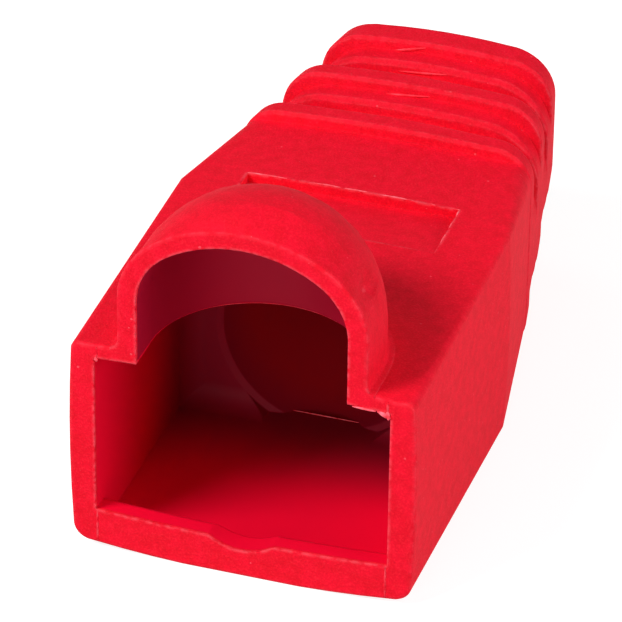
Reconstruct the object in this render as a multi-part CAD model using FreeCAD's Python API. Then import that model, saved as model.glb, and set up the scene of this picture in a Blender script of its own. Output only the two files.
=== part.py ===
import FreeCAD
import Part
import math
import os

os.makedirs("parts", exist_ok=True)
V = FreeCAD.Vector

# A slip-on strain relief boot for a modular plug, moulded in one piece.
# Millimetres. Z is up, X is across and Y runs from the plug mouth to the cable end.
# The forms are built with the mouth at Y = 0, and the finished boot is then moved
# along Y so that the origin is the middle of its footprint. It rests on Z = 0.

# the plug that the boot slips over, and the room left around it
plug_width = 11.68
plug_height = 6.60
plug_side_gap = 0.13
plug_height_gap = 0.59

# walls of the plug housing
side_wall = 0.98
roof_wall = 0.51
floor_wall = 0.58
pocket_depth = 10.55
pocket_corner = 0.9
side_draft = 0.008
ceiling_draft = 0.033
ceiling_bulge = 0.12
housing_length = 12.95
side_bulge = 0.11
roof_bulge = 0.14
belly_rise = 0.28
belly_flat = 4.8
roof_corner = 0.34
roof_corner_back = 0.14
belly_corner = 0.75
belly_corner_back = 0.22
belly_rise_back = 0.18

# retaining lip across the mouth, with a dip in its middle
lip_rise = 1.26
lip_depth = 1.0
lip_hollow = 0.20
lip_soft = 0.25
dip_radius = 2.2
dip_depth = 0.46
dip_shoulder = 0.35

# latch hood over the mouth
hood_width = 10.08
hood_rise = 6.11
hood_arch = 3.82
hood_swell = 0.40
hood_run = 1.8
hood_side_wall = 0.80
hood_roof_wall = 0.72
hollow_run = 1.75
hollow_arch = 3.2
hollow_knee = 2.75
hollow_flare = 0.12
hood_foot = 0.28

# sloping recess in the roof behind the hood
recess_width = 8.96
recess_back = 14.10
recess_length = 3.5
recess_depth = 0.45

# shoulder that narrows to the cable neck
shoulder_length = 5.71
shoulder_round = 0.95
shoulder_drop = 0.18
shoulder_belly = 0.17

# cable neck with its strain relief rims, slots and shelves
neck_half_start = 6.24
neck_half_end = 4.88
neck_belly_rise = 1.75
neck_top_round_start = 1.6
neck_top_round_end = 2.0
neck_belly_round_start = 1.3
neck_belly_round_end = 2.3
belly_share = 0.4
rim_count = 3
rim_height = 0.47
rim_thickness = 0.95
end_rim_thickness = 1.46
slot_width = 1.60
slot_drop = 0.98
slot_round = 1.8
shelf_length = 1.05
shelf_drop = 0.45
shelf_round = 0.7
wall_draft = 0.03
edge_soft = 0.12
shelf_soft = 0.2
end_soft = 0.25

# cable way through the neck
cable_bore = 5.2
funnel_mouth = 8.4
funnel_edge = 0.4
funnel_length = 6.5
funnel_centre = 4.55
bore_centre = 5.75

# heights and widths that follow from the sizes above
mouth_half = plug_width / 2 + plug_side_gap
housing_half = mouth_half + side_wall
lip_top = floor_wall + lip_rise
ceiling = lip_top + plug_height + plug_height_gap
roof = ceiling + roof_wall
shoulder_end = housing_length + shoulder_length
plate = roof - shoulder_drop
rim_top = plate + rim_height
rim_pitch = rim_thickness + slot_width + shelf_length
neck_length = (rim_count - 1) * rim_pitch + end_rim_thickness
neck_end = shoulder_end + neck_length
neck_foot = belly_rise + shoulder_belly
funnel_start = pocket_depth + funnel_edge
past = 0.5
overlap = 0.01

# how far a rounded edge has come in after 0, 0.29 and 1 of its run, and a small one cut straight
rounding = [(0, 1), (0.29, 0.29), (1, 0)]
slant = [(0, 1), (1, 0)]


def section(y, half, bottom, top, round_top, round_bottom, bulge, crown, sag, flat):
    """Closed wire across the boot at y: ten edges, flat underside in the middle."""
    foot = half - round_bottom
    low_side = bottom + round_bottom
    high_side = top - round_top
    brow = half - round_top
    turn = math.sqrt(0.5)
    points = [
        (flat, bottom - sag),
        ((flat + foot) / 2, bottom - 0.64 * sag),
        (foot, bottom),
        (foot + round_bottom * turn, low_side - round_bottom * turn),
        (half, low_side),
        (half + bulge, (low_side + high_side) / 2),
        (half, high_side),
        (brow + round_top * turn, high_side + round_top * turn),
        (brow, top),
    ]
    right = [V(x, y, z) for x, z in points]
    left = [V(-x, y, z) for x, z in points]
    edges = [Part.makeLine(left[0], right[0])]
    for k in range(0, 8, 2):
        edges.append(Part.Arc(right[k], right[k + 1], right[k + 2]).toShape())
    edges.append(Part.Arc(right[8], V(0, y, top + crown), left[8]).toShape())
    for k in range(8, 0, -2):
        edges.append(Part.Arc(left[k], left[k - 1], left[k - 2]).toShape())
    return Part.Wire(edges)


def housing_section(y, inset):
    """Section of the straight plug housing, drawn in by inset all round; its corners sharpen towards the back."""
    share = y / housing_length
    rise = belly_rise + share * (belly_rise_back - belly_rise)
    top_corner = roof_corner + share * (roof_corner_back - roof_corner)
    low_corner = belly_corner + share * (belly_corner_back - belly_corner)
    return section(y, housing_half - inset, rise + inset, roof - roof_bulge / 2 - inset,
                   top_corner, low_corner, side_bulge, roof_bulge, rise, belly_flat / 2)


def neck_value(y, start, end):
    """Size that changes evenly along the neck."""
    return start + (end - start) * (y - shoulder_end) / neck_length


def neck_section(y, lower, rounder, inset):
    """Section of the neck: lower takes height off, rounder adds to the corners, inset draws all in."""
    half = neck_value(y, neck_half_start, neck_half_end) - inset
    bottom = neck_value(y, neck_foot, neck_foot + neck_belly_rise) + belly_share * lower + inset
    top = rim_top - lower - inset
    round_top = neck_value(y, neck_top_round_start, neck_top_round_end) + rounder
    round_bottom = neck_value(y, neck_belly_round_start, neck_belly_round_end) + belly_share * rounder / 2
    fit = min(1, 0.96 * (top - bottom) / (round_top + round_bottom))
    round_top = round_top * fit
    round_bottom = round_bottom * fit
    flat = 0.45 * (half - round_bottom)
    return section(y, half, bottom, top, round_top, round_bottom,
                   side_bulge / 20, roof_bulge, belly_rise / 3, flat)


def housing_stations():
    """Sections of the housing, its front outline rounded over."""
    stations = [housing_section(run * edge_soft, inset * edge_soft) for run, inset in rounding]
    stations.append(housing_section(housing_length, 0))
    return stations


def rim_stations(front, back):
    """Sections of one rim, its top and bottom edges taken off but its sides flush."""
    stations = [neck_section(front + run * edge_soft, drop * edge_soft, 0, 0) for run, drop in slant]
    for run, drop in reversed(slant):
        stations.append(neck_section(back - run * edge_soft, drop * edge_soft, 0, 0))
    return stations


def gap_stations(front, back):
    """Sections of the slot and the shelf between two rims."""
    step = back - shelf_length
    stations = [neck_section(front + wall_draft, slot_drop, slot_round, 0)]
    stations.append(neck_section(step - wall_draft, slot_drop, slot_round, 0))
    for run, drop in slant:
        stations.append(neck_section(step + run * shelf_soft, shelf_drop + drop * shelf_soft, shelf_round, 0))
    stations.append(neck_section(back - wall_draft, shelf_drop, shelf_round, 0))
    return stations


def neck_stations():
    """Sections of the whole neck: rims with gaps between, and the rounded end."""
    sharper = shoulder_round - neck_top_round_start
    stations = [neck_section(shoulder_end - wall_draft, rim_height, sharper, wall_draft)]
    for k in range(rim_count - 1):
        front = shoulder_end + k * rim_pitch
        stations = stations + rim_stations(front, front + rim_thickness)
        stations = stations + gap_stations(front + rim_thickness, front + rim_pitch)
    front = neck_end - end_rim_thickness
    for run, drop in slant:
        stations.append(neck_section(front + run * edge_soft, drop * edge_soft, 0, 0))
    for run, inset in reversed(rounding):
        stations.append(neck_section(neck_end - run * end_soft, 0, 0, inset * end_soft))
    return stations


def make_body():
    """Housing, shoulder and neck as one skin over all the sections."""
    return Part.makeLoft(housing_stations() + neck_stations(), True, True)


def quarter(knee, shoulder, crown):
    """Quarter of an ellipse from knee to crown; shoulder is the corner of its box."""
    curve = Part.BezierCurve()
    curve.setPoles([knee, shoulder, crown])
    curve.setWeight(2, math.sqrt(0.5))
    return curve.toShape()


def arch(y, half, base, spring, top):
    """Closed wire of an arch: two legs and half an ellipse."""
    crown = V(0, y, top)
    edges = [Part.makeLine(V(-half, y, base), V(half, y, base))]
    edges.append(Part.makeLine(V(half, y, base), V(half, y, spring)))
    edges.append(quarter(V(half, y, spring), V(half, y, top), crown))
    edges.append(quarter(crown, V(-half, y, top), V(-half, y, spring)))
    edges.append(Part.makeLine(V(-half, y, spring), V(-half, y, base)))
    return Part.Wire(edges)


def handle(half, y, spring, top, knee):
    """Right half of a basket-handle arch: an arc of radius knee from the spring runs into a wide one to the top."""
    rise = top - spring
    wide = (half ** 2 + rise ** 2 - 2 * half * knee) / (2 * (rise - knee))
    lean = math.atan2(spring - top + wide, half - knee)
    low = lean / 2
    high = (lean + math.pi / 2) / 2
    touch = V(wide * math.cos(lean), y, top - wide + wide * math.sin(lean))
    bend = V(half - knee + knee * math.cos(low), y, spring + knee * math.sin(low))
    brow = V(wide * math.cos(high), y, top - wide + wide * math.sin(high))
    tight = Part.Arc(V(half, y, spring), bend, touch).toShape()
    return [tight, Part.Arc(touch, brow, V(0, y, top)).toShape()]


def half_arch(y, half, base, spring, top, curve):
    """Face of the right half of an arch: its floor, its leg, the curve over it and its middle line."""
    foot = V(half, y, base)
    outline = [Part.makeLine(V(0, y, base), foot), Part.makeLine(foot, V(half, y, spring))]
    outline = outline + curve
    outline.append(Part.makeLine(V(0, y, top), V(0, y, base)))
    return Part.Face(Part.Wire(outline))


def half_dome(y, half, base, spring, top, curve):
    """Half a round dome behind y: a vertical wall up to the spring, then the curve turned about the middle."""
    return half_arch(y, half, base, spring, top, curve).revolve(V(0, y, 0), V(0, 0, 1), 180)


def plan_arch(z, half):
    """Closed level wire at z: two straight sides along the boot and half a circle behind."""
    edges = [Part.makeLine(V(-half, 0, z), V(half, 0, z))]
    edges.append(Part.makeLine(V(half, 0, z), V(half, hood_run, z)))
    edges.append(Part.Arc(V(half, hood_run, z), V(0, hood_run + half, z), V(-half, hood_run, z)).toShape())
    edges.append(Part.makeLine(V(-half, hood_run, z), V(-half, 0, z)))
    return Part.Wire(edges)


def make_hood():
    """Outside of the latch hood: an arch that swells into the dome behind it."""
    half = hood_width / 2
    base = roof - roof_wall * 0.8
    top = roof + hood_rise
    spring = top - hood_arch
    dome_top = top + hood_swell
    dome_spring = dome_top - half
    sections = [arch(run * edge_soft, half - inset * edge_soft, base, spring, top - inset * edge_soft)
                for run, inset in rounding]
    front = Part.makeLoft(sections, True, True)
    middle_spring = spring + 0.7 * (dome_spring - spring)
    sections = [arch(edge_soft, half, base, spring, top),
                arch(0.45 * hood_run, half, base, middle_spring, top + 0.7 * hood_swell),
                arch(hood_run, half, base, dome_spring, dome_top)]
    tunnel = Part.makeLoft(sections, True, False)
    turn = half * math.sqrt(0.5)
    round_edge = Part.Arc(V(half, hood_run, dome_spring), V(turn, hood_run, dome_spring + turn),
                          V(0, hood_run, dome_top))
    dome = half_dome(hood_run, half, base, dome_spring, dome_top, [round_edge.toShape()])
    sections = [plan_arch(roof + run * hood_foot, half + out * hood_foot) for run, out in rounding]
    skirt = Part.makeLoft([plan_arch(base, half + hood_foot)] + sections, True, True)
    return [front, tunnel, dome, skirt]


def make_hollow():
    """Inside of the latch hood, open to the mouth and to the pocket below, its lower rim flared."""
    half = hood_width / 2 - hood_side_wall
    rim = ceiling - ceiling_draft * (hollow_run + half)
    base = rim - past
    top = roof + hood_rise - hood_roof_wall
    spring = top - hollow_arch
    curve = handle(half, -past, spring, top, hollow_knee)
    right = half_arch(-past, half, base, spring, top, curve).extrude(V(0, past + hollow_run, 0))
    left = right.mirror(V(0, 0, 0), V(1, 0, 0))
    dome = half_dome(hollow_run, half, base, spring, top, handle(half, hollow_run, spring, top, hollow_knee))
    low = rim - ceiling_bulge
    high = rim + hollow_flare
    flare = Part.makeCone(half + high - low, half, high - low, V(0, hollow_run, low))
    return [right, left, dome, flare]


def room_section(y, floor, sag):
    """Closed wire of the plug space at y: bowed floor and ceiling, closing in with depth."""
    half = mouth_half - side_draft * y
    high = ceiling - ceiling_draft * y
    low_left = V(-half, y, floor)
    low_right = V(half, y, floor)
    high_right = V(half, y, high - ceiling_bulge)
    high_left = V(-half, y, high - ceiling_bulge)
    edges = [Part.makeLine(low_left, low_right)]
    if sag > 0:
        edges = [Part.Arc(low_left, V(0, y, floor - sag), low_right).toShape()]
    edges.append(Part.makeLine(low_right, high_right))
    edges.append(Part.Arc(high_right, V(0, y, high), high_left).toShape())
    edges.append(Part.makeLine(high_left, low_left))
    return Part.Wire(edges)


def make_mouth():
    """Space over the lip, with the lip's rear edge rounded over."""
    sections = [room_section(-past, lip_top, lip_hollow)]
    for run, drop in reversed(rounding):
        sections.append(room_section(lip_depth - run * lip_soft, lip_top - drop * lip_soft, lip_hollow))
    sections.append(room_section(lip_depth + overlap, lip_top - lip_soft, lip_hollow))
    return Part.makeLoft(sections, True, True)


def ring(y, radius, z):
    """Upright circle across the boot."""
    return Part.Wire(Part.makeCircle(radius, V(0, y, z), V(0, 1, 0)))


def room(y_front, y_back):
    """Plug space between two depths, over the level floor."""
    return Part.makeLoft([room_section(y_front, floor_wall, 0), room_section(y_back, floor_wall, 0)], True, True)


def make_pocket():
    """Pocket for the plug behind the lip: rounded rear corners, opened by the rounded funnel edge."""
    front_half = mouth_half - side_draft * lip_depth
    back_half = mouth_half - side_draft * pocket_depth
    high = ceiling + past
    block = Part.makeWedge(-front_half, lip_depth, floor_wall, floor_wall, -back_half,
                           front_half, pocket_depth, high, high, back_half)
    edges = []
    for edge in block.Edges:
        box = edge.BoundBox
        at_back = abs(box.YMin - pocket_depth) < 1e-4
        if at_back and box.ZMin < floor_wall + plug_height / 2:
            edges.append(edge)
    rounded = block.makeFillet(pocket_corner, edges).common(room(lip_depth, pocket_depth + overlap))
    radius = funnel_mouth / 2
    rings = [ring(pocket_depth - 1.5 * pocket_corner, radius + funnel_edge, funnel_centre)]
    for run, out in rounding:
        rings.append(ring(pocket_depth + run * funnel_edge, radius + out * funnel_edge, funnel_centre))
    opening = Part.makeLoft(rings, True, True)
    return [rounded, opening.common(room(lip_depth, funnel_start + overlap))]


def make_dip():
    """Cutter for the dip in the lip: a round bottom that runs out over two round shoulders."""
    reach = math.sqrt(2 * dip_depth * (dip_radius + dip_shoulder) - dip_depth ** 2)
    level = lip_top - lip_hollow * (1 - (reach / mouth_half) ** 2) + overlap
    centre = level - dip_depth + dip_radius
    share = dip_radius / (dip_radius + dip_shoulder)
    touch_x = reach * share
    touch_z = centre + (level - dip_shoulder - centre) * share
    lean = math.atan2(reach, dip_radius + dip_shoulder - dip_depth) / 2
    bend_x = reach - dip_shoulder * math.sin(lean)
    bend_z = level - dip_shoulder * (1 - math.cos(lean))
    start = -past
    edges = [Part.Arc(V(-reach, start, level), V(-bend_x, start, bend_z), V(-touch_x, start, touch_z)).toShape()]
    edges.append(Part.Arc(V(-touch_x, start, touch_z), V(0, start, level - dip_depth),
                          V(touch_x, start, touch_z)).toShape())
    edges.append(Part.Arc(V(touch_x, start, touch_z), V(bend_x, start, bend_z), V(reach, start, level)).toShape())
    edges.append(Part.makeLine(V(reach, start, level), V(reach, start, level + past)))
    edges.append(Part.makeLine(V(reach, start, level + past), V(-reach, start, level + past)))
    edges.append(Part.makeLine(V(-reach, start, level + past), V(-reach, start, level)))
    return Part.Face(Part.Wire(edges)).extrude(V(0, lip_depth + 2 * past, 0))


def make_recess():
    """Wedge cutter for the recess in the roof."""
    front = recess_back - recess_length
    corners = [(front, roof), (recess_back, roof - recess_depth), (recess_back, roof + 1), (front, roof + 1)]
    points = [V(-recess_width / 2, y, z) for y, z in corners]
    points.append(points[0])
    return Part.Face(Part.makePolygon(points)).extrude(V(recess_width, 0, 0))


def make_cable_way():
    """Funnel behind the pocket and the round bore through the neck."""
    radius = funnel_mouth / 2
    low_rise = bore_centre - cable_bore / 2 - (funnel_centre - radius)
    tip = radius * funnel_length / low_rise
    funnel = Part.makeCone(radius, radius - low_rise * 1.1, funnel_length * 1.1,
                           V(0, funnel_start, funnel_centre), V(0, 1, 0))
    front = funnel_start + tip * 0.2
    bore = Part.makeCylinder(cable_bore / 2, neck_end - front + past, V(0, front, bore_centre), V(0, 1, 0))
    return [funnel, bore]


def make_boot():
    """The whole boot: outside forms joined, then every space cut out."""
    outside = make_body().fuse(make_hood())
    spaces = [make_mouth(), make_dip(), make_recess()] + make_pocket() + make_hollow() + make_cable_way()
    boot = outside.cut(spaces).removeSplitter()
    boot.translate(V(0, -neck_end / 2, 0))
    return boot


boot = make_boot()
print("solids", len(boot.Solids), "valid", boot.isValid(), "faces", len(boot.Faces))
print("volume", round(boot.Volume, 1))
boot.Solids[0].exportStep("parts/strain_relief_boot.step")
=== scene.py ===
import math

import bpy
import numpy as np
from mathutils import Matrix, Vector


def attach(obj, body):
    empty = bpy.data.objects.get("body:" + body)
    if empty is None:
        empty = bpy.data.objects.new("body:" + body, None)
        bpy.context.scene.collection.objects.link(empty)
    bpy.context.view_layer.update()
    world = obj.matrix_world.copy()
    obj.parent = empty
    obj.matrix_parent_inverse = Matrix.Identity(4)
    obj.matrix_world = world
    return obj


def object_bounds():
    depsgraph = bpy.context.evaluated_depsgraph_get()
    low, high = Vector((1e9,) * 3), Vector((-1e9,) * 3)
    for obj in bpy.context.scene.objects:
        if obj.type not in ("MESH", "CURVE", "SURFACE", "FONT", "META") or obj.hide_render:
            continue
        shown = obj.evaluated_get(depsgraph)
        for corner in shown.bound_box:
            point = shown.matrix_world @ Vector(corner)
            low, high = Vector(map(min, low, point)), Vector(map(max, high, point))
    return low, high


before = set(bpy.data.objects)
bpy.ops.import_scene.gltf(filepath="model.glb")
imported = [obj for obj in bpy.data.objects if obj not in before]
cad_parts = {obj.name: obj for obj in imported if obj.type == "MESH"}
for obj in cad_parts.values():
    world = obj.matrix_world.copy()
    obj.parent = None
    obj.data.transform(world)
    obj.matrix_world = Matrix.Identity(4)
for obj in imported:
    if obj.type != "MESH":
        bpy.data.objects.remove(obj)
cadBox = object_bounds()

mm = 0.001          # the scene is in metres, the sizes below are in millimetres
scene = bpy.context.scene
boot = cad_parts["strain_relief_boot"]
print("frame loaded:", boot.name, len(boot.data.polygons), "facets")


# small tools

# linear value = ((c + 0.055) / 1.055) ** 2.4 for each sRGB channel, or c / 12.92 near black
def linearColour(hexText):
    channels = np.array([int(hexText[k:k + 2], 16) for k in (0, 2, 4)]) / 255
    linear = np.where(channels <= 0.04045, channels / 12.92, ((channels + 0.055) / 1.055) ** 2.4)
    return (*linear.tolist(), 1.0)


# one node of any kind: settings go on the node, links and plain values go on its inputs
def addNode(tree, kind, settings=None, **inputs):
    node = tree.nodes.new(kind)
    for key, value in (settings or {}).items():
        setattr(node, key, value)
    for key, value in inputs.items():
        numbered = key.startswith("in") and key[2:].isdigit()
        socket = node.inputs[int(key[2:]) if numbered else key.replace("_", " ")]
        if isinstance(value, bpy.types.NodeSocket):
            tree.links.new(value, socket)
        else:
            socket.default_value = value
    return node


# closed skin over rings of points: ring k joins ring k + 1 with quads, and a pole closes each end
def closedSkin(name, rings, material):
    count, around = rings.shape[:2]
    points = np.concatenate([rings.reshape(-1, 3), rings[0].mean(0)[None], rings[-1].mean(0)[None]])
    row = np.arange(count - 1)[:, None] * around
    here = np.arange(around)[None, :]
    following = (here + 1) % around
    quads = np.stack([row + here, row + following, row + around + following, row + around + here], -1)
    quads = quads.reshape(-1, 4)
    first = np.stack([np.full(around, count * around), following[0], here[0]], -1)
    base = (count - 1) * around
    last = np.stack([np.full(around, count * around + 1), base + here[0], base + following[0]], -1)
    triangles = np.concatenate([first, last, quads[:, [0, 1, 2]], quads[:, [0, 2, 3]]])
    corner = points[triangles]
    volume = np.einsum("ij,ij->i", corner[:, 0], np.cross(corner[:, 1], corner[:, 2])).sum()
    faces = [f[::-1] if volume < 0 else f for f in (quads.tolist() + first.tolist() + last.tolist())]
    mesh = bpy.data.meshes.new(name)
    mesh.from_pydata((points * mm).tolist(), [], faces)
    mesh.polygons.foreach_set("use_smooth", np.ones(len(faces), bool))
    mesh.update()
    piece = bpy.data.objects.new(name, mesh)
    scene.collection.objects.link(piece)
    mesh.materials.append(material)
    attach(piece, "root")
    return piece


# a bead of moulding flash: an ellipse of half width w and height h carried along a path,
# swelling in from nothing at both ends as the square root of sin, and a little uneven on the way;
# here the path is straight, or bowed outward by bow times sin
def flashBead(name, start, end, across, outward, width, height, uneven, seed, material, steps=40, bow=0):
    t = np.linspace(0, 1, steps)
    path = np.array(start) + (np.array(end) - np.array(start)) * t[:, None]
    path = path + np.array(outward, float) * (bow * np.sin(math.pi * t))[:, None]
    return beadAlong(name, path, np.array(across, float), np.array(outward, float), width, height,
                     uneven, seed, material)


# the same bead along any path of points; across and outward are one direction, or one for each point;
# the unevenness is a sum of seven sines with random sizes and starts
def beadAlong(name, path, across, outward, width, height, uneven, seed, material):
    steps = len(path)
    t = np.linspace(0, 1, steps)
    wave = np.random.default_rng(seed)
    ripple = np.zeros(steps)
    for k in range(2, 9):
        ripple += wave.uniform(-1, 1) * np.sin(math.pi * k * t + wave.uniform(0, 6)) / k
    swell = np.sqrt(np.clip(np.sin(math.pi * (0.02 + 0.96 * t)), 0, 1))
    w = width * swell * (1 + uneven * 0.5 * ripple)
    h = height * swell * (1 + uneven * ripple)
    across = np.broadcast_to(across, (steps, 3))[:, None, :]
    outward = np.broadcast_to(outward, (steps, 3))[:, None, :]
    turn = np.linspace(0, 2 * math.pi, 12, endpoint=False)
    rings = (path[:, None, :] + (w[:, None] * np.cos(turn)[None, :])[:, :, None] * across
             + (h[:, None] * np.sin(turn)[None, :])[:, :, None] * outward)
    return closedSkin(name, rings, material)


# materials

# Plasticised PVC, injection moulded in a spark-eroded tool: soft, deep red, satin outside with a
# fine grain and a few pale specks; the cores that form the inside are smoother, so it has no grain.
mouldedPvc = {
    "colour": "f10429",
    "mottleColour": "e50221",
    "mouthColour": "ee002e",        # inside near the mouth: painted light, where light soaks through the thin walls
    "depthShadeColour": "860824",        # further in: painted shade, where none does
    # painted shade in the bore
    "boreShadeColour": "a00518",
    "hollowShadeColour": "a8062c",       # painted shade under the hood
    "paleAndHighlightColour": "ff6a78",         # specks, and painted highlights on grain peaks and edges
    "mouthEnd": -8.8,               # the inside's painted light turns to painted shade from here to depthStart, and on to the bore's at boreStart
    "depthStart": -3.2,
    "boreStart": -1.0,
    "boreEnd": (3.0, 13.6),         # towards the neck's end the bore's painted shade gives way to the outside's colour
    "ior": 1.53,
    "specular": 0.14,
    "roughOutside": 0.72,
    "roughInside": 0.60,
    "roughBore": 0.92,
    "grainSize": 0.085,             # real grain is nearer 0.04 mm, drawn as coarse as it needs to show
    "grainDepth": 0.03,
    "grainLightAndShadeTint": 0.08,              # painted highlight and shade: how much lighter its peaks and darker its pits are
    # painted glint: how much paler the grain's highest peaks are
    "grainGlint": 0.07,
    "mottleSize": 0.5,
    "speckSpacing": 0.55,
    "speckRadius": 0.04,
    "speckShare": 0.6,
    "speckPale": 0.4,
    "edgeRadius": 0.10,
    "edgeHighlightReach": 0.16,              # how far from an edge the painted highlight goes
    "edgeHighlightCover": (0.96, 0.62),      # plastic under the surface: none of the painted highlight, all of it
    "edgeHighlightPatches": 3.5,             # patches in a millimetre, and the part of them that shows
    "edgeHighlightPatchRange": (0.36, 0.58),
    # painted highlight: how pale the edges get
    "edgeHighlightStrength": 0.36,
}

# where the inside lies, in millimetres: its limits run inside the walls that part it from the outside
insideShape = {
    "front": -13.5,
    "back": 13.5,
    "domeY": -11.9,                 # the hood's dome starts behind this and over domeZ
    "domeZ": 11.9,
    "domeHalf": 4.64,
    "domeRise": 3.6,
    "domeShare": 0.96,
    "roomHalf": 6.1,
    "roomFloor": 0.45,
    "roomBack": 0.6,
    "roomCeiling": 9.2,
    "backCeiling": 8.4,             # lower behind the pocket, under the recess's floor
    "ceilingStep": (-2.2, -1.2),
    "ceilingFall": 0.033,           # the pocket's ceiling falls this much in each millimetre of depth
    "hollowFrom": 8.62,
    "funnelHeight": 4.9,
    "funnelReach": 3.5,
    "boreHeight": 5.75,
    "boreReach": 2.95,
    "boreFrom": (3.0, 5.0),
}


# the colour is a mix by place: inside or outside first, then painted light and shade by depth, then mottle,
# grain with painted light and shade, specks and painted edge highlights
def makePvc(s, shape):
    material = bpy.data.materials.new("mouldedSoftPvcRed")
    material.use_nodes = True
    tree = material.node_tree
    tree.nodes.clear()
    place = addNode(tree, "ShaderNodeTexCoord")
    scale = addNode(tree, "ShaderNodeMapping", Vector=place.outputs["Object"], Scale=(1000, 1000, 1000))
    point = scale.outputs["Vector"]
    # inside of the hood: x, and y and z past the start of its dome, as shares of half its width and its rise
    axes = addNode(tree, "ShaderNodeSeparateXYZ", Vector=point)
    behind = addNode(tree, "ShaderNodeMath", {"operation": "MAXIMUM"}, in0=axes.outputs["Y"],
                     in1=shape["domeY"])
    over = addNode(tree, "ShaderNodeMath", {"operation": "MAXIMUM"}, in0=axes.outputs["Z"],
                   in1=shape["domeZ"])
    bent = addNode(tree, "ShaderNodeCombineXYZ", X=axes.outputs["X"], Y=behind.outputs[0], Z=over.outputs[0])
    moved = addNode(tree, "ShaderNodeVectorMath", {"operation": "ADD"}, in0=bent.outputs[0],
                    in1=(0, -shape["domeY"], -shape["domeZ"]))
    share = addNode(tree, "ShaderNodeVectorMath", {"operation": "MULTIPLY"}, in0=moved.outputs[0],
                    in1=(1 / shape["domeHalf"], 1 / shape["domeHalf"], 1 / shape["domeRise"]))
    reach = addNode(tree, "ShaderNodeVectorMath", {"operation": "LENGTH"}, in0=share.outputs[0])
    inHood = addNode(tree, "ShaderNodeMath", {"operation": "LESS_THAN"}, in0=reach.outputs["Value"],
                     in1=shape["domeShare"])
    # inside of the plug space: under the ceiling, between the side walls, over the floor
    wide = addNode(tree, "ShaderNodeMath", {"operation": "ABSOLUTE"}, in0=axes.outputs["X"])
    between = addNode(tree, "ShaderNodeMath", {"operation": "LESS_THAN"}, in0=wide.outputs[0],
                      in1=shape["roomHalf"])
    ceiling = addNode(tree, "ShaderNodeMapRange", Value=axes.outputs["Y"], From_Min=shape["ceilingStep"][0],
                      From_Max=shape["ceilingStep"][1], To_Min=shape["roomCeiling"],
                      To_Max=shape["backCeiling"])
    under = addNode(tree, "ShaderNodeMath", {"operation": "LESS_THAN"}, in0=axes.outputs["Z"],
                    in1=ceiling.outputs["Result"])
    above = addNode(tree, "ShaderNodeMath", {"operation": "GREATER_THAN"}, in0=axes.outputs["Z"],
                    in1=shape["roomFloor"])
    short = addNode(tree, "ShaderNodeMath", {"operation": "LESS_THAN"}, in0=axes.outputs["Y"],
                    in1=shape["roomBack"])
    room = addNode(tree, "ShaderNodeMath", {"operation": "MULTIPLY"}, in0=between.outputs[0],
                   in1=under.outputs[0])
    room = addNode(tree, "ShaderNodeMath", {"operation": "MULTIPLY"}, in0=room.outputs[0],
                   in1=above.outputs[0])
    room = addNode(tree, "ShaderNodeMath", {"operation": "MULTIPLY"}, in0=room.outputs[0],
                   in1=short.outputs[0])
    either = addNode(tree, "ShaderNodeMath", {"operation": "MAXIMUM"}, in0=room.outputs[0],
                     in1=inHood.outputs[0])
    deep = addNode(tree, "ShaderNodeMath", {"operation": "GREATER_THAN"}, in0=axes.outputs["Y"],
                   in1=shape["front"])
    # inside of the bore: nearer to its centre line than the neck's outside is, between its two ends
    flat = addNode(tree, "ShaderNodeCombineXYZ", X=axes.outputs["X"], Z=axes.outputs["Z"])
    lineHeight = addNode(tree, "ShaderNodeMapRange", Value=axes.outputs["Y"], From_Min=shape["boreFrom"][0],
                         From_Max=shape["boreFrom"][1], To_Min=shape["funnelHeight"],
                         To_Max=shape["boreHeight"])
    lineReach = addNode(tree, "ShaderNodeMapRange", Value=axes.outputs["Y"], From_Min=shape["boreFrom"][0],
                        From_Max=shape["boreFrom"][1], To_Min=shape["funnelReach"], To_Max=shape["boreReach"])
    line = addNode(tree, "ShaderNodeCombineXYZ", Z=lineHeight.outputs["Result"])
    aside = addNode(tree, "ShaderNodeVectorMath", {"operation": "DISTANCE"}, in0=flat.outputs[0],
                    in1=line.outputs[0])
    near = addNode(tree, "ShaderNodeMath", {"operation": "LESS_THAN"}, in0=aside.outputs["Value"],
                   in1=lineReach.outputs["Result"])
    either = addNode(tree, "ShaderNodeMath", {"operation": "MAXIMUM"}, in0=either.outputs[0],
                     in1=near.outputs[0])
    within = addNode(tree, "ShaderNodeMath", {"operation": "LESS_THAN"}, in0=axes.outputs["Y"],
                     in1=shape["back"])
    inside = addNode(tree, "ShaderNodeMath", {"operation": "MULTIPLY"}, in0=either.outputs[0],
                     in1=deep.outputs[0])
    inside = addNode(tree, "ShaderNodeMath", {"operation": "MULTIPLY"}, in0=inside.outputs[0],
                     in1=within.outputs[0])
    outside = addNode(tree, "ShaderNodeMath", {"operation": "SUBTRACT"}, in0=1.0, in1=inside.outputs[0])
    # colour: a faint mottle half a millimetre wide
    mottle = addNode(tree, "ShaderNodeTexNoise", Vector=point, Scale=1 / s["mottleSize"], Detail=4.0)
    tint = addNode(tree, "ShaderNodeMapRange", Value=mottle.outputs["Fac"], From_Min=0.35, From_Max=0.65)
    red = addNode(tree, "ShaderNodeMix", {"data_type": "RGBA"}, in0=tint.outputs["Result"],
                  in6=linearColour(s["colour"]), in7=linearColour(s["mottleColour"]))
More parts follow.
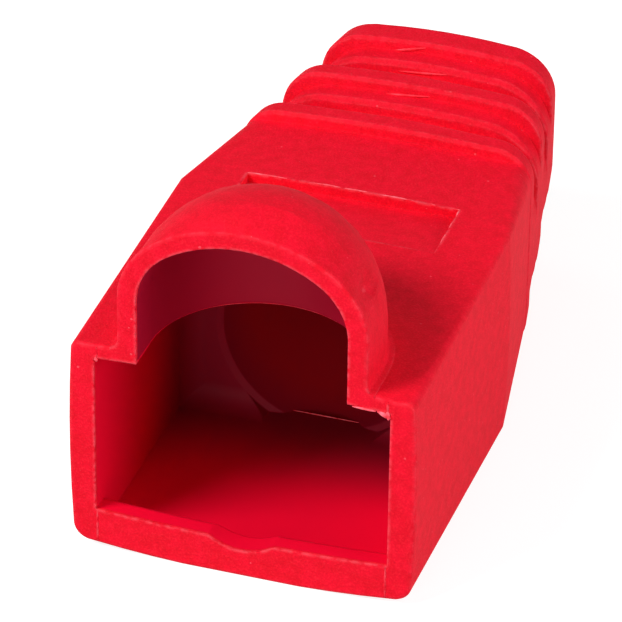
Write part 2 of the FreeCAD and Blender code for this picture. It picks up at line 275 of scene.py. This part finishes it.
    # inside: painted light at the mouth, painted shade into the depth and the bore, and painted shade in the
    # hood's hollow, a deeper red
    nearness = addNode(tree, "ShaderNodeMapRange", {"interpolation_type": "SMOOTHSTEP"},
                       Value=axes.outputs["Y"], From_Min=s["mouthEnd"], From_Max=s["depthStart"])
    insideLightAndShade = addNode(tree, "ShaderNodeMix", {"data_type": "RGBA"}, in0=nearness.outputs["Result"],
                    in6=linearColour(s["mouthColour"]), in7=linearColour(s["depthShadeColour"]))
    passed = addNode(tree, "ShaderNodeMapRange", {"interpolation_type": "SMOOTHSTEP"},
                     Value=axes.outputs["Y"], From_Min=s["depthStart"], From_Max=s["boreStart"])
    insideLightAndShade = addNode(tree, "ShaderNodeMix", {"data_type": "RGBA"}, in0=passed.outputs["Result"],
                    in6=insideLightAndShade.outputs[2], in7=linearColour(s["boreShadeColour"]))
    level = addNode(tree, "ShaderNodeMath", {"operation": "MULTIPLY_ADD"}, in0=axes.outputs["Y"],
                    in1=shape["ceilingFall"], in2=axes.outputs["Z"])
    raised = addNode(tree, "ShaderNodeMath", {"operation": "GREATER_THAN"}, in0=level.outputs[0],
                     in1=shape["hollowFrom"])
    hollow = addNode(tree, "ShaderNodeMath", {"operation": "MULTIPLY"}, in0=raised.outputs[0],
                     in1=inHood.outputs[0])
    # painted shade in the hood's hollow
    insideLightAndShade = addNode(tree, "ShaderNodeMix", {"data_type": "RGBA"}, in0=hollow.outputs[0],
                    in6=insideLightAndShade.outputs[2], in7=linearColour(s["hollowShadeColour"]))
    leaving = addNode(tree, "ShaderNodeMapRange", {"interpolation_type": "SMOOTHSTEP"},
                      Value=axes.outputs["Y"], From_Min=s["boreEnd"][0], From_Max=s["boreEnd"][1])
    insideLightAndShade = addNode(tree, "ShaderNodeMix", {"data_type": "RGBA"}, in0=leaving.outputs["Result"],
                    in6=insideLightAndShade.outputs[2], in7=linearColour(s["colour"]))
    red = addNode(tree, "ShaderNodeMix", {"data_type": "RGBA"}, in0=inside.outputs[0],
                  in6=red.outputs[2], in7=insideLightAndShade.outputs[2])
    # the grain itself: painted highlight on its peaks and painted shade in its pits, which are deeper red
    grain = addNode(tree, "ShaderNodeTexNoise", Vector=point, Scale=1 / s["grainSize"], Detail=2.0,
                    Roughness=0.7)
    grainLightAndShade = addNode(tree, "ShaderNodeMapRange", Value=grain.outputs["Fac"], From_Min=0.3, From_Max=0.7,
                    To_Min=1 - s["grainLightAndShadeTint"], To_Max=1 + s["grainLightAndShadeTint"])
    grainLightAndShade = addNode(tree, "ShaderNodeMix", {"data_type": "FLOAT"}, in0=outside.outputs[0], in2=1.0,
                    in3=grainLightAndShade.outputs["Result"])
    red = addNode(tree, "ShaderNodeVectorMath", {"operation": "SCALE"}, in0=red.outputs[2],
                  in3=grainLightAndShade.outputs[0])
    # pale specks, in three cells out of five
    cells = addNode(tree, "ShaderNodeTexVoronoi", Vector=point, Scale=1 / s["speckSpacing"])
    pick = addNode(tree, "ShaderNodeSeparateColor", Color=cells.outputs["Color"])
    size = addNode(tree, "ShaderNodeMapRange", Value=pick.outputs[0], From_Min=1 - s["speckShare"],
                   From_Max=1.0,
                   To_Min=0.0, To_Max=s["speckRadius"] / s["speckSpacing"] * 1.5)
    speck = addNode(tree, "ShaderNodeMath", {"operation": "LESS_THAN"}, in0=cells.outputs["Distance"],
                    in1=size.outputs["Result"])
    speck = addNode(tree, "ShaderNodeMath", {"operation": "MULTIPLY"}, in0=speck.outputs[0],
                    in1=outside.outputs[0])
    speck = addNode(tree, "ShaderNodeMath", {"operation": "MULTIPLY"}, in0=speck.outputs[0],
                    in1=s["speckPale"])
    # painted highlight on convex edges: where the plastic is thin under the surface, in broken patches, it is
    # paler
    edge = addNode(tree, "ShaderNodeBevel", {"samples": 6}, Radius=s["edgeRadius"] * mm)
    cover = addNode(tree, "ShaderNodeAmbientOcclusion", {"samples": 8, "inside": True, "only_local": True},
                    Distance=s["edgeHighlightReach"] * mm)
    paintedEdgeHighlight = addNode(tree, "ShaderNodeMapRange", Value=cover.outputs["AO"],
                   From_Min=s["edgeHighlightCover"][0], From_Max=s["edgeHighlightCover"][1])
    broken = addNode(tree, "ShaderNodeTexNoise", Vector=point, Scale=s["edgeHighlightPatches"], Detail=3.0)
    patches = addNode(tree, "ShaderNodeMapRange", Value=broken.outputs["Fac"],
                      From_Min=s["edgeHighlightPatchRange"][0], From_Max=s["edgeHighlightPatchRange"][1])
    paintedEdgeHighlight = addNode(tree, "ShaderNodeMath", {"operation": "MULTIPLY"}, in0=paintedEdgeHighlight.outputs["Result"],
                   in1=patches.outputs["Result"])
    paintedEdgeHighlight = addNode(tree, "ShaderNodeMath", {"operation": "MULTIPLY"}, in0=paintedEdgeHighlight.outputs[0],
                   in1=outside.outputs[0])
    paintedEdgeHighlight = addNode(tree, "ShaderNodeMath", {"operation": "MULTIPLY"}, in0=paintedEdgeHighlight.outputs[0], in1=s["edgeHighlightStrength"])
    # the pale share: painted edge highlights, specks and painted glints on the grain
    paleAndHighlight = addNode(tree, "ShaderNodeMath", {"operation": "MAXIMUM"}, in0=paintedEdgeHighlight.outputs[0],
                   in1=speck.outputs[0])
    # painted glint on the grain's highest peaks
    grainGlintShare = addNode(tree, "ShaderNodeMapRange", Value=grain.outputs["Fac"], From_Min=0.52, From_Max=0.72,
                  To_Max=s["grainGlint"])
    grainGlintShare = addNode(tree, "ShaderNodeMath", {"operation": "MULTIPLY"}, in0=grainGlintShare.outputs["Result"],
                  in1=outside.outputs[0])
    paleAndHighlight = addNode(tree, "ShaderNodeMath", {"operation": "ADD"}, in0=paleAndHighlight.outputs[0], in1=grainGlintShare.outputs[0])
    colour = addNode(tree, "ShaderNodeMix", {"data_type": "RGBA"}, in0=paleAndHighlight.outputs[0],
                     in6=red.outputs[0], in7=linearColour(s["paleAndHighlightColour"]))
    # roughness: satin outside, a little smoother in the pocket and the hood, duller in the bore
    polish = addNode(tree, "ShaderNodeMapRange", Value=passed.outputs["Result"],
                     To_Min=s["roughInside"], To_Max=s["roughBore"])
    rough = addNode(tree, "ShaderNodeMapRange", Value=inside.outputs[0],
                    To_Min=s["roughOutside"], To_Max=polish.outputs["Result"])
    # relief: spark-eroded grain outside only, over edges rounded as the tool leaves them
    relief = addNode(tree, "ShaderNodeMath", {"operation": "MULTIPLY"}, in0=grain.outputs["Fac"],
                     in1=outside.outputs[0])
    bump = addNode(tree, "ShaderNodeBump", Height=relief.outputs[0], Distance=s["grainDepth"] * mm,
                   Strength=1.0, Normal=edge.outputs[0])
    skin = addNode(tree, "ShaderNodeBsdfPrincipled", Base_Color=colour.outputs[2],
                   Roughness=rough.outputs["Result"],
                   IOR=s["ior"], Normal=bump.outputs[0], Specular_IOR_Level=s["specular"])
    addNode(tree, "ShaderNodeOutputMaterial", Surface=skin.outputs[0])
    return material


# Thin flash of the same PVC, whitened where it was stretched as the tool opened: paler and waxy. It also
# colours the two pale beads that paint highlights on the hollow's rim and the funnel's edge.
whitenedPvc = {"colour": "f0283c", "paleAndHighlightColour": "ff7684", "ior": 1.53, "specular": 0.2, "rough": 0.5,
               "patch": 0.3}
# The same PVC dragged along by the tool: shinier than the grain round it, and a little paler, the paleness a
# painted highlight.
smearedPvc = {"colour": "f2152c", "paleAndHighlightColour": "ff4254", "ior": 1.53, "specular": 0.2, "rough": 0.5,
              "patch": 0.4}


# the colour is a mix of the two by a soft noise, whose patches are as wide as patch says, in millimetres
def makeFlash(name, s):
    material = bpy.data.materials.new(name)
    material.use_nodes = True
    tree = material.node_tree
    tree.nodes.clear()
    place = addNode(tree, "ShaderNodeTexCoord")
    scale = addNode(tree, "ShaderNodeMapping", Vector=place.outputs["Object"], Scale=(1000, 1000, 1000))
    patch = addNode(tree, "ShaderNodeTexNoise", Vector=scale.outputs["Vector"], Scale=1 / s["patch"],
                    Detail=3.0)
    share = addNode(tree, "ShaderNodeMapRange", Value=patch.outputs["Fac"], From_Min=0.35, From_Max=0.65)
    colour = addNode(tree, "ShaderNodeMix", {"data_type": "RGBA"}, in0=share.outputs["Result"],
                     in6=linearColour(s["colour"]), in7=linearColour(s["paleAndHighlightColour"]))
    skin = addNode(tree, "ShaderNodeBsdfPrincipled", Base_Color=colour.outputs[2], Roughness=s["rough"],
                   IOR=s["ior"], Specular_IOR_Level=s["specular"])
    addNode(tree, "ShaderNodeOutputMaterial", Surface=skin.outputs[0])
    return material


pvc = makePvc(mouldedPvc, insideShape)
flash = makeFlash("stressWhitenedPvcFlash", whitenedPvc)
smeared = makeFlash("smearedPvc", smearedPvc)
for place in boot.material_slots:
    place.material = pvc
print("moulded soft PVC made and put on", boot.name)


# moulding marks: places are in millimetres in the scene's frame, and mouthY is the mouth's face
mouthY = cadBox[0][1] / mm
print("mouth face at", round(mouthY, 3))

# witness lines down the front at both ends of the lip, where the lip's insert met the tool
lipLine = {"x": 5.91, "low": 0.33, "high": 1.80, "width": 0.05, "proud": 0.035}
for side, label in ((-1, "left"), (1, "right")):
    flashBead("lipWitness_" + label, (side * lipLine["x"], mouthY, lipLine["low"]),
              (side * lipLine["x"], mouthY, lipLine["high"]), (1, 0, 0), (0, -1, 0),
              lipLine["width"], lipLine["proud"], 0.3, 11 + side, pvc)

# the same line in the wall over each upper corner of the mouth
wallLine = {"x": 5.86, "low": 8.88, "high": 9.44, "width": 0.05, "proud": 0.03}
for side, label in ((-1, "left"), (1, "right")):
    flashBead("wallWitness_" + label, (side * wallLine["x"], mouthY, wallLine["low"]),
              (side * wallLine["x"], mouthY, wallLine["high"]), (1, 0, 0), (0, -1, 0),
              wallLine["width"], wallLine["proud"], 0.4, 21 + side, pvc)
print("witness lines made")

# flash left along the recess's back and right edges, where the slide that forms it met the roof
recessBurrs = {"y": 0.45, "z": 9.52, "crown": 0.068, "half": 4.48, "width": 0.025, "proud": 0.03,
               "uneven": 0.6, "bow": 0.004, "sideRise": 0.015,
               "back": [(-4.48, -2.8), (-1.66, -0.5), (-0.35, 0.68), (1.15, 2.56), (3.2, 3.45), (4.2, 4.52)],
               "side": [(-0.1, 0.45), (-1.1, -0.5), (-2.3, -1.5)]}


# z over x: the roof's crown falls away as the square of x
def roofHeight(x, b):
    return b["z"] + b["crown"] * (1 - (x / b["half"]) ** 2)


b = recessBurrs
for k, (start, end) in enumerate(b["back"]):
    ends = [(x, b["y"], roofHeight(x, b)) for x in (start, end)]
    flashBead("recessBackFlash_" + str(k), ends[0], ends[1], (0, 1, 0), (0, 0, 1),
              b["width"], b["proud"], b["uneven"], 40 + k, flash, bow=b["bow"] * (end - start) ** 2)
for k, (start, end) in enumerate(b["side"]):
    ends = [(b["half"] + 0.01, y, b["z"] + b["sideRise"]) for y in (start, end)]
    flashBead("recessSideFlash_" + str(k), ends[0], ends[1], (1, 0, 0), (0, 0, 1),
              b["width"], b["proud"], b["uneven"], 60 + k, flash)

# ejector smears in the neck's gaps: thin ridges where a shelf meets the front of the rim behind it, paler as
# a painted highlight
smears = [
    {"start": (-1.10, 8.40, 9.51), "end": (0.80, 8.57, 9.62), "width": 0.05, "proud": 0.045},
    {"start": (-1.35, 11.12, 9.08), "end": (0.75, 11.14, 9.27), "width": 0.05, "proud": 0.045},
    {"start": (-1.85, 12.12, 9.46), "end": (-0.50, 12.18, 9.78), "width": 0.06, "proud": 0.045},
]
for k, m in enumerate(smears):
    flashBead("gapSmear_" + str(k), m["start"], m["end"], (0, 0, 1), (0, -1, 0), m["width"], m["proud"],
              0.2, 80 + k, smeared, bow=0.02)

# flash at the mouth's upper corners: a blob, a thread along the ceiling's edge and a tag down the wall
# at the right, and a small tag at the left
cornerFlash = [
    {"start": (5.45, -13.68, 8.92), "end": (5.99, -13.68, 8.72), "width": 0.10, "proud": 0.05},
    {"start": (4.45, -13.67, 8.93), "end": (5.40, -13.67, 8.90), "width": 0.05, "proud": 0.03},
    {"start": (5.86, -13.68, 8.98), "end": (5.90, -13.68, 8.62), "width": 0.09, "proud": 0.06},
    {"start": (-5.90, -13.68, 8.98), "end": (-5.86, -13.68, 8.78), "width": 0.07, "proud": 0.05},
]
for k, c in enumerate(cornerFlash):
    flashBead("cornerFlash_" + str(k), c["start"], c["end"], (0, 0, 1) if k < 2 else (1, 0, 0), (0, -1, 0),
              c["width"], c["proud"], 0.5, 100 + k, flash)

# a thin pale bead that paints a highlight along the hollow's rear rim: an arc under that rim,
# whose height follows the pocket's ceiling, falling with depth and with the square of x
rimHighlight = {"radius": 4.38, "y": -11.91, "ceiling": 9.03, "fall": 0.033, "drop": 0.12, "half": 5.9,
             "reach": 62, "width": 0.02, "proud": 0.02}
angle = np.radians(np.linspace(-rimHighlight["reach"], rimHighlight["reach"], 60))
rimX, rimY = rimHighlight["radius"] * np.sin(angle), rimHighlight["y"] + rimHighlight["radius"] * np.cos(angle)
rimZ = (rimHighlight["ceiling"] - rimHighlight["fall"] * (rimY - mouthY)
        - rimHighlight["drop"] * (rimX / rimHighlight["half"]) ** 2)
outwards = np.stack([np.sin(angle), np.cos(angle), 0 * angle], 1)
beadAlong("hollowRimThread", np.stack([rimX, rimY, rimZ], 1), outwards, np.array((0, 0, -1.0)),
          rimHighlight["width"], rimHighlight["proud"], 0.5, 120, flash)

# a thin pale bead that paints a highlight on the floor's edge at the funnel's mouth
funnelThread = {"half": 1.6, "y": -2.70, "z": 0.585, "width": 0.03, "proud": 0.03}
flashBead("funnelThread", (-funnelThread["half"], funnelThread["y"], funnelThread["z"]),
          (funnelThread["half"], funnelThread["y"], funnelThread["z"]), (0, 1, 0), (0, 0, 1),
          funnelThread["width"], funnelThread["proud"], 0.3, 130, flash)
print("flash, burrs and smears made")


# stage: pale floor, soft lamps, white surroundings
paper = {"colour": "b6b6b6", "lift": 0.82, "half": 2, "gap": 0.00002}     # half and gap are in metres


# a square floor just under the boot; where it is seen, directly or in a reflection, lift is added
def makeStage(s):
    mesh = bpy.data.meshes.new("floor")
    half = s["half"]
    corners = [(-half, -half, 0), (half, -half, 0), (half, half, 0), (-half, half, 0)]
    mesh.from_pydata(corners, [], [(0, 1, 2, 3)])
    floor = bpy.data.objects.new("floor", mesh)
    floor.location = (0, 0, -s["gap"])
    scene.collection.objects.link(floor)
    material = bpy.data.materials.new("whitePaper")
    material.use_nodes = True
    tree = material.node_tree
    tree.nodes.clear()
    ray = addNode(tree, "ShaderNodeLightPath")
    diffuse = addNode(tree, "ShaderNodeBsdfDiffuse", Color=linearColour(s["colour"]))
    seen = addNode(tree, "ShaderNodeMath", {"operation": "MAXIMUM"}, in0=ray.outputs["Is Camera Ray"],
                   in1=ray.outputs["Is Glossy Ray"])
    seen = addNode(tree, "ShaderNodeMath", {"operation": "MAXIMUM"}, in0=seen.outputs[0],
                   in1=ray.outputs["Is Transmission Ray"])
    lift = addNode(tree, "ShaderNodeMath", {"operation": "MULTIPLY"}, in0=seen.outputs[0], in1=s["lift"])
    glow = addNode(tree, "ShaderNodeEmission", Color=(1, 1, 1, 1), Strength=lift.outputs[0])
    both = addNode(tree, "ShaderNodeAddShader", in0=diffuse.outputs[0], in1=glow.outputs[0])
    addNode(tree, "ShaderNodeOutputMaterial", Surface=both.outputs[0])
    mesh.materials.append(material)


# a soft lamp: at a distance along a direction from the middle of the boot, turned to face it;
# its power gives level times the light that renders a colour as it is written
def softLamp(name, direction, distance, size, level, middle):
    lamp = bpy.data.lights.new(name, "AREA")
    lamp.shape = "DISK"
    lamp.size = size
    lamp.energy = level * math.pi ** 2 * distance ** 2
    holder = bpy.data.objects.new(name, lamp)
    scene.collection.objects.link(holder)
    away = Vector(direction).normalized()
    holder.location = Vector(middle) + away * distance
    holder.rotation_euler = away.to_track_quat("Z", "Y").to_euler()


lampPlan = {
    "key": {"direction": (-0.50, -0.53, 0.69), "distance": 0.35, "size": 0.15, "level": 0.88},
    "low": {"direction": (-0.10, -0.97, 0.14), "distance": 0.35, "size": 0.20, "level": 0.32},
    "back": {"direction": (-0.60, 0.38, 0.70), "distance": 0.35, "size": 0.20, "level": 0.05},
    "fill": {"direction": (0.93, -0.15, 0.33), "distance": 0.35, "size": 0.24, "level": 0.67},
}
worldLevel = 0.12                   # the world's light on the object; where it is seen it is white

makeStage(paper)
middle = (0, 0, 0.008)
for name, plan in lampPlan.items():
    softLamp(name, plan["direction"], plan["distance"], plan["size"], plan["level"], middle)

world = bpy.data.worlds.new("studio")
scene.world = world
world.use_nodes = True
tree = world.node_tree
tree.nodes.clear()
ray = addNode(tree, "ShaderNodeLightPath")
seen = addNode(tree, "ShaderNodeMath", {"operation": "MAXIMUM"}, in0=ray.outputs["Is Camera Ray"],
               in1=ray.outputs["Is Glossy Ray"])
seen = addNode(tree, "ShaderNodeMath", {"operation": "MAXIMUM"}, in0=seen.outputs[0],
               in1=ray.outputs["Is Transmission Ray"])
level = addNode(tree, "ShaderNodeMapRange", Value=seen.outputs[0], To_Min=worldLevel, To_Max=1.0)
sky = addNode(tree, "ShaderNodeBackground", Color=(1, 1, 1, 1), Strength=level.outputs["Result"])
addNode(tree, "ShaderNodeOutputWorld", Surface=sky.outputs[0])
print("stage, lamps and surroundings made")


# camera: azimuth from the mouth's side, elevation, roll, distance, and the point looked at, in millimetres
view = {"azimuth": 17.583, "elevation": 32.494, "roll": 0.77, "distance": 195.309,
        "target": (0.863, -7.66, 8.851), "lens": 5000 * 36 / 622, "sensor": 36}


# back points from the target to the camera, side and top span the picture, and roll turns the two
def makeCamera(v):
    turn, lift, roll = (math.radians(v[k]) for k in ("azimuth", "elevation", "roll"))
    back = np.array([math.sin(turn) * math.cos(lift), -math.cos(turn) * math.cos(lift), math.sin(lift)])
    right = np.cross([0, 0, 1], back)
    right = right / np.linalg.norm(right)
    up = np.cross(back, right)
    side = math.cos(roll) * right + math.sin(roll) * up
    top = -math.sin(roll) * right + math.cos(roll) * up
    spot = (np.array(v["target"]) + v["distance"] * back) * mm
    data = bpy.data.cameras.new("camera")
    data.sensor_width = v["sensor"]
    data.lens = v["lens"]
    data.clip_start = 0.005
    data.clip_end = 20
    camera = bpy.data.objects.new("camera", data)
    scene.collection.objects.link(camera)
    matrix = np.eye(4)
    matrix[:3, 0], matrix[:3, 1], matrix[:3, 2], matrix[:3, 3] = side, top, back, spot
    camera.matrix_world = Matrix(matrix.tolist())
    scene.camera = camera


makeCamera(view)
scene.view_settings.view_transform = "Standard"
print("camera made")
